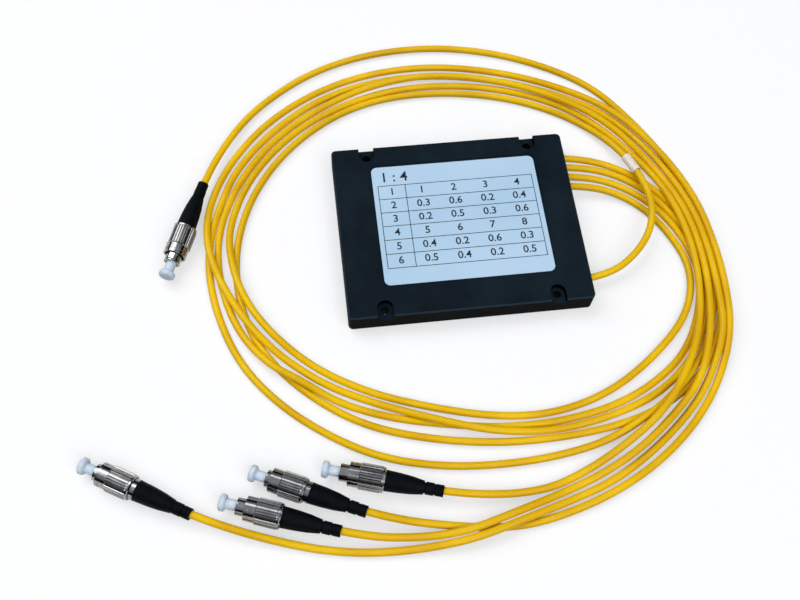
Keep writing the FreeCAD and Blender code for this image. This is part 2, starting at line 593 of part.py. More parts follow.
# Leads: each lies as it does on the table, coiled twice round the case. Route points in millimetres,
# from the lead's inner end in the case to the last point before its boot.
ROUTES = {
    "input": [
        (40, -29.5, 5), (58, -29.5, 5), (75, -18, 6.6), (83, -4, 7.9), (83, 13, 7.9), (76, 34, 4.7),
        (61, 52, 1.5), (41, 63.5, 1.5), (20, 70, 1.5), (-4, 73, 1.5), (-28, 71, 1.5), (-49, 63, 1.5),
        (-69, 48, 1.5), (-84, 28, 1.5), (-92, 7, 1.5), (-94, -13, 1.5), (-91, -33, 1.5), (-83, -50, 1.5),
        (-69, -66, 1.5), (-50, -80, 1.5), (-28, -88, 1.5), (-2, -93, 1.5), (22, -94, 1.5), (48, -92, 1.5),
        (69, -86, 1.5), (86.5, -75.5, 1.5), (98.5, -59, 1.5), (108, -39, 1.5), (111, -17, 1.5), (108, 6, 1.5),
        (100, 28, 1.5), (88, 50, 1.5), (72, 70, 1.5), (51, 84, 1.5), (27, 94, 1.5), (-1, 99, 1.5),
        (-30, 97, 1.5), (-55, 89, 1.5), (-75, 76, 1.5), (-89, 62, 2.2)],
    "output_1": [
        (40, 30.4, 5), (58, 30.4, 5), (84, 19, 1.5), (100, -6, 1.5), (104.5, -28, 1.5), (100, -48, 1.5),
        (90, -66.5, 1.5), (74, -81.5, 5), (62.5, -89, 5), (45, -97, 1.5), (24, -101, 1.5), (1, -102, 1.5),
        (-22, -100, 1.5), (-44, -94, 1.5), (-63, -83, 1.5), (-80, -69, 1.5), (-94, -51, 1.5), (-102, -29, 1.5),
        (-105, -8, 1.5), (-103, 9, 1.5), (-98.5, 23, 1.5), (-91, 40, 1.5), (-75, 58, 1.5), (-54, 73, 1.5),
        (-30, 81, 1.5), (0, 83, 1.5), (30, 77, 1.5), (55, 67, 1.5), (77, 53, 1.5), (94, 31, 1.5),
        (103, 5, 4.7), (107, -15, 4.7), (106, -37, 4.7), (101, -58, 4.7), (90, -77, 1.5), (78, -90, 1.5),
        (61, -103, 1.5), (43, -113, 1.5), (25, -118.5, 1.5), (6, -124, 4.7), (-13, -129, 4.7),
        (-34, -130, 1.5), (-55, -129, 1.5), (-77, -124, 1.5)],
    "output_2": [
        (40, 25.6, 5), (58, 25.6, 5), (81, 17, 1.5), (96.5, -6, 1.5), (101, -28, 1.5), (96.5, -48.5, 1.5),
        (86.5, -66, 1.5), (70.5, -79.5, 1.5), (50, -87, 1.5), (26, -91, 1.5), (2, -90, 5), (-22, -82, 5),
        (-42, -73, 1.5), (-60, -64, 1.5), (-75, -52, 1.5), (-85, -42, 4.7), (-94, -28, 4.7), (-102, -10, 4.7),
        (-105, 6, 4.7), (-103, 24, 1.5), (-94, 43, 1.5), (-78, 62, 1.5), (-56, 77, 1.5), (-30, 86, 1.5),
        (0, 88, 1.5), (30, 82, 1.5), (55, 72, 1.5), (77, 55, 4.7), (95.5, 32.5, 4.7), (106.5, 7.5, 4.7),
        (110, -14, 4.7), (110, -36, 4.7), (105, -57, 4.7), (95, -76, 1.5), (82, -92, 1.5), (66, -105, 1.5),
        (48, -115, 1.5), (28, -122, 1.5), (7, -126, 1.5), (-14, -124, 1.5)],
    "output_3": [
        (40, 20.8, 5), (58, 20.8, 5), (80, 12, 1.5), (93, -7, 1.5), (98, -28, 1.5), (93.5, -47.5, 1.5),
        (83, -65, 1.5), (66, -77, 1.5), (48, -84, 1.5), (27, -87.5, 1.5), (5, -87.5, 1.5), (-16, -84, 1.5),
        (-38, -79, 1.5), (-57, -71, 1.5), (-71, -61, 4.7), (-83, -53, 4.7), (-94, -37, 1.5), (-100, -17, 1.5),
        (-101, 2, 1.5), (-97, 19, 1.5), (-88, 37, 1.5), (-73, 55, 1.5), (-53, 69, 1.5), (-29, 77, 4.7),
        (-2, 81, 4.7), (28, 75, 4.7), (53, 64, 4.7), (74, 48, 4.7), (91, 28, 1.5), (99, 5, 4.7),
        (102, -14, 4.7), (101, -36, 4.7), (96, -57, 4.7), (86, -77, 4.7), (72, -90, 4.7), (56, -102, 4.7),
        (39, -110, 1.5), (22, -115.5, 1.5), (4, -121, 5.2), (-15, -126, 5.2), (-32, -126, 2.5)],
    "output_4": [
        (40, 16, 5), (58, 16, 5), (78, 8, 1.5), (89, -9, 1.5), (95, -28, 1.5), (88, -48, 1.5),
        (70, -65, 1.5), (49, -78, 1.5), (26, -84, 1.5), (4, -83, 1.5), (-20, -77, 1.5), (-45, -68, 1.5),
        (-66, -55, 1.5), (-82, -39, 4.7), (-91, -23, 4.7), (-95, -8, 4.7), (-96, 10, 1.5), (-87, 33, 1.5),
        (-70.5, 52.5, 1.5), (-51, 66, 1.5), (-26, 75, 1.5), (0, 77, 1.5), (27, 73, 1.5), (51.5, 63.5, 1.5),
        (70, 49, 1.5), (85, 29, 1.5), (94, 8, 4.7), (97, -13, 4.7), (96, -35, 4.7), (90, -56, 4.7),
        (79, -75, 8.2), (67, -89, 8.2), (52, -99, 4.7), (34, -108, 1.5), (15, -114, 1.5)],
}
diameter = SIZES["cable_diameter"]
# A lead that leaves the case keeps its own exit's place and height, whatever the case's sizes.
exit_y = {f"output_{i + 1}": number(EXITS[i]) for i in range(4)}
exit_y["input"] = input_y
for lead, spot, heading, nut_rest in PLUGS.values():
    along = FreeCAD.Vector(math.cos(math.radians(heading)), math.sin(math.radians(heading)), 0)
    rear = FreeCAD.Vector(spot[0], spot[1], axis_z)
    outside = rear - along * SIZES["cable_before_boot"]
    seated = rear + along * SIZES["cable_in_boot"]
    inner = [(lead_x, exit_y[lead], seam_z), (lead_x + SIZES["cable_straight"], exit_y[lead], seam_z)]
    points = inner + ROUTES[lead][2:] + [tuple(outside), tuple(seated)]
    pieces.append(route_tube(f"{lead}_cable", points, diameter))

# Clear marker sleeve, loose on the input lead where it comes down off the others.
high = FreeCAD.Vector(*ROUTES["input"][4])
low = FreeCAD.Vector(*ROUTES["input"][5])
sleeve_axis = (low - high).normalize()
sleeve_turn = FreeCAD.Rotation(FreeCAD.Vector(1, 0, 0), sleeve_axis)
MARKER_BORE = "Sizes.cable_diameter + 2 * Sizes.marker_clearance"
sleeve = turned("marker_sleeve", FreeCAD.Placement((high + low) * 0.5, sleeve_turn), profile(
    ("0 - Sizes.marker_length / 2", MARKER_BORE),
    ("0 - Sizes.marker_length / 2", f"{MARKER_BORE} + 2 * Sizes.marker_wall"),
    ("Sizes.marker_length / 2", f"{MARKER_BORE} + 2 * Sizes.marker_wall"),
    ("Sizes.marker_length / 2", MARKER_BORE)))
pieces.append(sleeve)

doc.recompute()
for item in doc.Objects:
    if "Invalid" in item.State or "Error" in item.State:
        raise RuntimeError(f"{item.Label} did not compute")
os.makedirs("parts", exist_ok=True)
for piece in pieces:
    if piece.Shape.isNull() or not piece.Shape.isValid():
        raise RuntimeError(f"{piece.Label} has no sound shape")
    piece.Shape.exportStep(f"parts/{piece.Label}.step")
print(len(pieces), "sub-parts")
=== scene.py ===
import math

import bpy
from mathutils import Matrix, Vector


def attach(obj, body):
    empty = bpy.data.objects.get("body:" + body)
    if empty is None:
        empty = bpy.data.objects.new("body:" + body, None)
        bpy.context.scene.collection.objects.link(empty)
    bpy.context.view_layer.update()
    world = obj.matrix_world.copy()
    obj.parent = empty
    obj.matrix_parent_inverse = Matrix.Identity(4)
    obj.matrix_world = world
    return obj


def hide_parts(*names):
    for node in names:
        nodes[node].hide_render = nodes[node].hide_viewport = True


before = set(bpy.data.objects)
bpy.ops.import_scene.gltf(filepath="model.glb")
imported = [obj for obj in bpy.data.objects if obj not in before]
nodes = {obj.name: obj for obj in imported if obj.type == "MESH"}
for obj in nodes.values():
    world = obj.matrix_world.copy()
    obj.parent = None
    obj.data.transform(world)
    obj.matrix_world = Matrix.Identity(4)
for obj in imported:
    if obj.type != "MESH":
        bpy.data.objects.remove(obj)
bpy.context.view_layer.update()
scene = bpy.context.scene
scene.view_settings.view_transform = "Standard"

# Camera: it looks down on the table at the photograph's height and turn, a little rolled, so that the
# case lies askew in the frame as it does there.
LENS_PIXELS = 974.5
IMAGE_WIDTH = 800
SENSOR = 36.0
CAMERA_TURN = math.radians(-11.04)
CAMERA_RISE = math.radians(64.37)
CAMERA_ROLL = math.radians(4.73)
CAMERA_TARGET = Vector((-0.02791, -0.02866, 0))
CAMERA_DISTANCE = 0.39889
back = Vector((math.sin(CAMERA_TURN) * math.cos(CAMERA_RISE),
               -math.cos(CAMERA_TURN) * math.cos(CAMERA_RISE), math.sin(CAMERA_RISE)))
level = (-back).cross(Vector((0, 0, 1))).normalized()
upright = level.cross(-back)
across = math.cos(CAMERA_ROLL) * level + math.sin(CAMERA_ROLL) * upright
upward = math.cos(CAMERA_ROLL) * upright - math.sin(CAMERA_ROLL) * level
camera = bpy.data.objects.new("camera", bpy.data.cameras.new("camera"))
camera.data.sensor_width = SENSOR
camera.data.lens = SENSOR * LENS_PIXELS / IMAGE_WIDTH
camera.data.clip_start = 0.01
turn = Matrix((across, upward, back)).transposed().to_4x4()
camera.matrix_world = Matrix.Translation(CAMERA_TARGET + back * CAMERA_DISTANCE) @ turn
scene.collection.objects.link(camera)
scene.camera = camera


# Table: a sheet of matt white card with a faint mottle from its fibres, lit from behind like a light table.
# Its glow, seen only by the eye and in mirrors, keeps the shadows on it light. It throws back on the object
# only what grey card would.
def colour(code):
    """Linear colour of an sRGB hex code."""
    parts = [int(code[i:i + 2], 16) / 255 for i in (1, 3, 5)]
    return [c / 12.92 if c <= 0.04045 else ((c + 0.055) / 1.055) ** 2.4 for c in parts] + [1.0]


def add(tree, kind, settings, *feeds, **links):
    """Adds a shader node. Settings are its sockets, properties or colour stops. Feeds go to its first
    sockets in order, and links to sockets by name."""
    item = tree.nodes.new(kind)
    for name, value in settings.items():
        if name == "stops":
            for stop, (position, tint) in zip(item.color_ramp.elements, value):
                stop.position = position
                stop.color = tint
        elif name in item.inputs:
            item.inputs[name].default_value = value
        else:
            setattr(item, name, value)
    for order, socket in enumerate(feeds):
        tree.links.new(socket, item.inputs[order])
    for name, socket in links.items():
        tree.links.new(socket, item.inputs[name.replace("_", " ")])
    return item


def new_material(name):
    """Material with an empty tree, that tree, and the place on the piece in metres."""
    material = bpy.data.materials.new(name)
    material.use_nodes = True
    material.node_tree.nodes.clear()
    place = add(material.node_tree, "ShaderNodeTexCoord", {}).outputs["Object"]
    return material, material.node_tree, place


def per_metre(millimetres):
    """Pattern scale whose features are that many millimetres across."""
    return 1000 / millimetres


CARD_HALF = 1.5
CARD_MOTTLE_MM = 2.5
CARD_BELOW = 0.0001
CARD_GLOW = 0.5
card_mesh = bpy.data.meshes.new("table_card")
card_mesh.from_pydata([(-CARD_HALF, -CARD_HALF, -CARD_BELOW), (CARD_HALF, -CARD_HALF, -CARD_BELOW),
                       (CARD_HALF, CARD_HALF, -CARD_BELOW), (-CARD_HALF, CARD_HALF, -CARD_BELOW)],
                      [], [(0, 1, 2, 3)])
card = bpy.data.objects.new("table_card", card_mesh)
scene.collection.objects.link(card)
white_card, tree, place = new_material("matt_white_card")
mottle = add(tree, "ShaderNodeTexNoise", {"Scale": per_metre(CARD_MOTTLE_MM), "Detail": 3.0}, Vector=place)
tint = add(tree, "ShaderNodeValToRGB", {"stops": ((0.35, colour("#f9f9f9")), (0.65, colour("#fbfbfb")))},
           Fac=mottle.outputs["Fac"])
path = add(tree, "ShaderNodeLightPath", {})
seen = add(tree, "ShaderNodeMath", {"operation": "ADD", "use_clamp": True}, path.outputs["Is Camera Ray"],
           path.outputs["Is Glossy Ray"])
seen_through = add(tree, "ShaderNodeMath", {"operation": "ADD", "use_clamp": True}, seen.outputs["Value"],
                   path.outputs["Is Transmission Ray"])
card_tint = add(tree, "ShaderNodeMixRGB", {"Color1": colour("#707070")}, Fac=seen_through.outputs["Value"],
                Color2=tint.outputs["Color"])
shader = add(tree, "ShaderNodeBsdfPrincipled", {"Roughness": 0.9, "Specular IOR Level": 0.1},
             Base_Color=card_tint.outputs["Color"])
glow = add(tree, "ShaderNodeEmission", {"Color": colour("#ffffff"), "Strength": 1.0})
share = add(tree, "ShaderNodeMapRange", {"To Max": CARD_GLOW}, Value=seen_through.outputs["Value"])
card_surface = add(tree, "ShaderNodeMixShader", {}, share.outputs["Result"], shader.outputs["BSDF"],
                   glow.outputs["Emission"])
add(tree, "ShaderNodeOutputMaterial", {}, Surface=card_surface.outputs["Shader"])
card_mesh.materials.append(white_card)

# Studio light: broad soft boxes at the back left and the front right, a small one behind that draws a bright
# line along the plated metal, and a dim room, pale near the floor, that draws the dark ones.
SOFT_BOXES = {
    "back_box": ((-1.1, 0.75, 1.5), 1.5, 18.6),
    "front_box": ((0.5, -1.2, 1.5), 1.6, 20.6),
    "small_box": ((-0.3, 0.85, 1.7), 0.7, 3.1),
}
SKIRTING_RISE = (0.09, 0.14)
for name, (spot, side, watts) in SOFT_BOXES.items():
    lamp = bpy.data.objects.new(name, bpy.data.lights.new(name, "AREA"))
    lamp.data.shape = "SQUARE"
    lamp.data.size = side
    lamp.data.energy = watts
    lamp.location = spot
    lamp.rotation_euler = (-Vector(spot)).to_track_quat("-Z", "Y").to_euler()
    scene.collection.objects.link(lamp)
room = bpy.data.worlds.new("room")
scene.world = room
room.use_nodes = True
tree = room.node_tree
tree.nodes.clear()
direction = add(tree, "ShaderNodeTexCoord", {}).outputs["Generated"]
height = add(tree, "ShaderNodeSeparateXYZ", {}, Vector=direction).outputs["Z"]
walls = add(tree, "ShaderNodeValToRGB", {"stops": ((0.45, colour("#0e0f10")), (0.9, colour("#c4c9d1")))},
            Fac=height)
above = add(tree, "ShaderNodeMapRange", {"From Min": SKIRTING_RISE[0], "From Max": SKIRTING_RISE[1]},
            Value=height)
inside = add(tree, "ShaderNodeMixRGB", {"Color1": colour("#fcfcfc")}, Fac=above.outputs["Result"],
             Color2=walls.outputs["Color"])
glow = add(tree, "ShaderNodeBackground", {"Strength": 1.0}, Color=inside.outputs["Color"])
add(tree, "ShaderNodeOutputWorld", {}, Surface=glow.outputs["Background"])


# Case: two shells of black ABS, injection moulded and bonded at the seam. The tool's spark-eroded finish
# leaves a fine matt grain. The tops carry a painted bluish sheen over the plastic's own near-black, the sides
# are painted darker as shade, and the top bevels paler still as a painted highlight.
def dress(material, *names):
    """Gives CAD nodes a material in place of the plain one they come with."""
    for name in names:
        nodes[name].data.materials.clear()
        nodes[name].data.materials.append(material)


SPARK_GRAIN_MM = 0.3
TONE_PATCH_MM = 25.0
BEVEL_PAINTED_HIGHLIGHT = 0.8
moulded_abs, tree, place = new_material("moulded_black_abs")
# The real grain is nearer 0.05 mm; it is drawn coarser so that it shows.
grain = add(tree, "ShaderNodeTexNoise", {"Scale": per_metre(SPARK_GRAIN_MM), "Detail": 2.0}, Vector=place)
relief = add(tree, "ShaderNodeBump", {"Strength": 0.2, "Distance": 0.00006}, Height=grain.outputs["Fac"])
patches = add(tree, "ShaderNodeTexNoise",
              {"Scale": per_metre(TONE_PATCH_MM), "Detail": 5.0, "Roughness": 0.65}, Vector=place)
# Top faces: the plastic's near-black with a painted bluish sheen, varying at random in patches.
tops_tone_and_painted_sheen = add(tree, "ShaderNodeValToRGB", {"stops": ((0.3, colour("#0f171d")), (0.7, colour("#19242d")))},
            Fac=patches.outputs["Fac"])
facing = add(tree, "ShaderNodeNewGeometry", {}).outputs["Normal"]
slope = add(tree, "ShaderNodeSeparateXYZ", {}, Vector=facing).outputs["Z"]
tops = add(tree, "ShaderNodeMapRange", {"From Min": 0.1, "From Max": 0.6}, Value=slope)
# Painted shade: faces that turn away from the top get the darker colour.
faces = add(tree, "ShaderNodeMixRGB", {"Color1": colour("#050607")}, Fac=tops.outputs["Result"],
            Color2=tops_tone_and_painted_sheen.outputs["Color"])
# Painted highlight: the sloping bevels round the top are painted paler.
not_flat = add(tree, "ShaderNodeMapRange", {"From Min": 0.97, "From Max": 0.8, "To Max": BEVEL_PAINTED_HIGHLIGHT},
               Value=slope)
painted_bevel_highlight = add(tree, "ShaderNodeMath", {"operation": "MULTIPLY"}, tops.outputs["Result"],
           not_flat.outputs["Result"])
skin = add(tree, "ShaderNodeMixRGB", {"Color2": colour("#2b3742")}, Fac=painted_bevel_highlight.outputs["Value"],
           Color1=faces.outputs["Color"])
dull = add(tree, "ShaderNodeMapRange", {"To Min": 0.45, "To Max": 0.6}, Value=patches.outputs["Fac"])
shader = add(tree, "ShaderNodeBsdfPrincipled", {"Specular IOR Level": 0.015},
             Base_Color=skin.outputs["Color"], Roughness=dull.outputs["Result"],
             Normal=relief.outputs["Normal"])
add(tree, "ShaderNodeOutputMaterial", {}, Surface=shader.outputs["BSDF"])
dress(moulded_abs, "case_base", "case_cover", "output_clamp", "input_clamp")

# Inside the closed case: the splitter's drawn stainless tube, bonded to the floor, and the thin white
# buffer tubes that run from it to the leads.
DRAWN_LINE_MM = 0.25
drawn_steel, tree, place = new_material("drawn_stainless_steel")
stretched = add(tree, "ShaderNodeMapping", {"Scale": (0.05, 1.0, 1.0)}, Vector=place)
lines = add(tree, "ShaderNodeTexNoise", {"Scale": per_metre(DRAWN_LINE_MM), "Detail": 3.0},
            Vector=stretched.outputs["Vector"])
relief = add(tree, "ShaderNodeBump", {"Strength": 0.2, "Distance": 0.00005}, Height=lines.outputs["Fac"])
tint = add(tree, "ShaderNodeValToRGB", {"stops": ((0.35, colour("#a4a6a9")), (0.65, colour("#bcbec0")))},
           Fac=lines.outputs["Fac"])
shader = add(tree, "ShaderNodeBsdfPrincipled", {"Metallic": 1.0, "Roughness": 0.3},
             Base_Color=tint.outputs["Color"], Normal=relief.outputs["Normal"])
add(tree, "ShaderNodeOutputMaterial", {}, Surface=shader.outputs["BSDF"])
dress(drawn_steel, "splitter_core")
BUFFER_MOTTLE_MM = 3.0
white_buffer, tree, place = new_material("extruded_white_buffer")
mottle = add(tree, "ShaderNodeTexNoise", {"Scale": per_metre(BUFFER_MOTTLE_MM), "Detail": 2.0}, Vector=place)
tint = add(tree, "ShaderNodeValToRGB", {"stops": ((0.35, colour("#e2e2da")), (0.65, colour("#eeeee8")))},
           Fac=mottle.outputs["Fac"])
shader = add(tree, "ShaderNodeBsdfPrincipled", {"Roughness": 0.4}, Base_Color=tint.outputs["Color"])
add(tree, "ShaderNodeOutputMaterial", {}, Surface=shader.outputs["BSDF"])
dress(white_buffer, "input_fibre", "output_fibre_1", "output_fibre_2", "output_fibre_3", "output_fibre_4")

# Label: pale blue coated paper, stuck in the cover's shallow recess. It is smooth, with a soft sheen and
# a slight unevenness in its tint.
PAPER_CLOUD_MM = 40.0
PAPER_GRAIN_MM = 0.35
blue_paper, tree, place = new_material("pale_blue_coated_paper")
clouds = add(tree, "ShaderNodeTexNoise", {"Scale": per_metre(PAPER_CLOUD_MM), "Detail": 2.0}, Vector=place)
grain = add(tree, "ShaderNodeTexNoise", {"Scale": per_metre(PAPER_GRAIN_MM), "Detail": 2.0}, Vector=place)
relief = add(tree, "ShaderNodeBump", {"Strength": 0.05, "Distance": 0.00005}, Height=grain.outputs["Fac"])
tint = add(tree, "ShaderNodeValToRGB", {"stops": ((0.35, colour("#accae2")), (0.65, colour("#b6d1e8")))},
           Fac=clouds.outputs["Fac"])
shader = add(tree, "ShaderNodeBsdfPrincipled", {"Roughness": 0.4, "Specular IOR Level": 0.25},
             Base_Color=tint.outputs["Color"], Normal=relief.outputs["Normal"])
add(tree, "ShaderNodeOutputMaterial", {}, Surface=shader.outputs["BSDF"])
dress(blue_paper, "label")

# Print on the label: a ruled table and plain numbers in dark ribbon ink, which is matt and a little
# uneven where the ribbon lifted.
LABEL_MIDDLE = (0.001, 0.0015)
PRINT_HEIGHT = 0.00997
TABLE = (-0.0329, -0.0205, 0.0329, 0.0186)
ROWS = 6
COLUMNS = 4
FIRST_COLUMN = 0.0115
RULE = 0.0003
INK_SPREAD_MM = 0.7
ribbon_ink, tree, place = new_material("dark_ribbon_ink")
spread = add(tree, "ShaderNodeTexNoise", {"Scale": per_metre(INK_SPREAD_MM), "Detail": 2.0}, Vector=place)
tint = add(tree, "ShaderNodeValToRGB", {"stops": ((0.35, colour("#17222a")), (0.65, colour("#26333d")))},
           Fac=spread.outputs["Fac"])
shader = add(tree, "ShaderNodeBsdfPrincipled", {"Roughness": 0.5, "Specular IOR Level": 0.2},
             Base_Color=tint.outputs["Color"])
add(tree, "ShaderNodeOutputMaterial", {}, Surface=shader.outputs["BSDF"])


def print_on_label(name, spots, faces):
    """Flat ink on the label, from spots measured from the label's middle."""
    mesh = bpy.data.meshes.new(name)
    mesh.from_pydata([(LABEL_MIDDLE[0] + x, LABEL_MIDDLE[1] + y, PRINT_HEIGHT) for x, y in spots], [], faces)
    mesh.materials.append(ribbon_ink)
    piece = bpy.data.objects.new(name, mesh)
    scene.collection.objects.link(piece)
    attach(piece, "module")


low_x, low_y, high_x, high_y = TABLE
row_step = (high_y - low_y) / ROWS
column_step = (high_x - low_x - FIRST_COLUMN) / COLUMNS
levels = [low_y + i * row_step for i in range(ROWS + 1)]
bars = [(low_x, y - RULE / 2, high_x, y + RULE / 2) for y in levels]
bars += [(x - RULE / 2, low_y, x + RULE / 2, high_y) for x in (low_x, low_x + FIRST_COLUMN, high_x)]
rule_spots = []
rule_faces = []
for x0, y0, x1, y1 in bars:
    first = len(rule_spots)
    rule_spots += [(x0, y0), (x1, y0), (x1, y1), (x0, y1)]
    rule_faces.append((first, first + 1, first + 2, first + 3))
print_on_label("label_rules", rule_spots, rule_faces)

FIGURES = (("1", "2", "3", "4"), ("0.3", "0.6", "0.2", "0.4"), ("0.2", "0.5", "0.3", "0.6"),
           ("5", "6", "7", "8"), ("0.4", "0.2", "0.6", "0.3"), ("0.5", "0.4", "0.2", "0.5"))
FIGURE_SIZE = 0.0047
TITLE = "1 : 4"
TITLE_SIZE = 0.0066
TITLE_SPOT = (-0.0315, 0.0206)
BASELINE = 0.3
STROKE_GAIN = 0.00007
words = [(TITLE, TITLE_SIZE, TITLE_SPOT, "LEFT")]
for row, values in enumerate(FIGURES):
    y = high_y - (row + 1 - BASELINE) * row_step
    words.append((str(row + 1), FIGURE_SIZE, (low_x + FIRST_COLUMN / 2, y), "CENTER"))
    for column, value in enumerate(values):
        words.append((value, FIGURE_SIZE, (low_x + FIRST_COLUMN + (column + 0.5) * column_step, y), "CENTER"))
figure_spots = []
figure_faces = []
for text, size, (x, y), align in words:
    lettering = bpy.data.curves.new("figure", "FONT")
    lettering.body = text
    lettering.size = size
    lettering.align_x = align
    lettering.resolution_u = 3
    lettering.offset = STROKE_GAIN
    figure = bpy.data.objects.new("figure", lettering)
    flat = bpy.data.meshes.new_from_object(figure)
    first = len(figure_spots)
    figure_spots += [(x + corner.co.x, y + corner.co.y) for corner in flat.vertices]
    figure_faces += [tuple(first + i for i in face.vertices) for face in flat.polygons]
    bpy.data.objects.remove(figure)
    bpy.data.curves.remove(lettering)
    bpy.data.meshes.remove(flat)
print_on_label("label_figures", figure_spots, figure_faces)

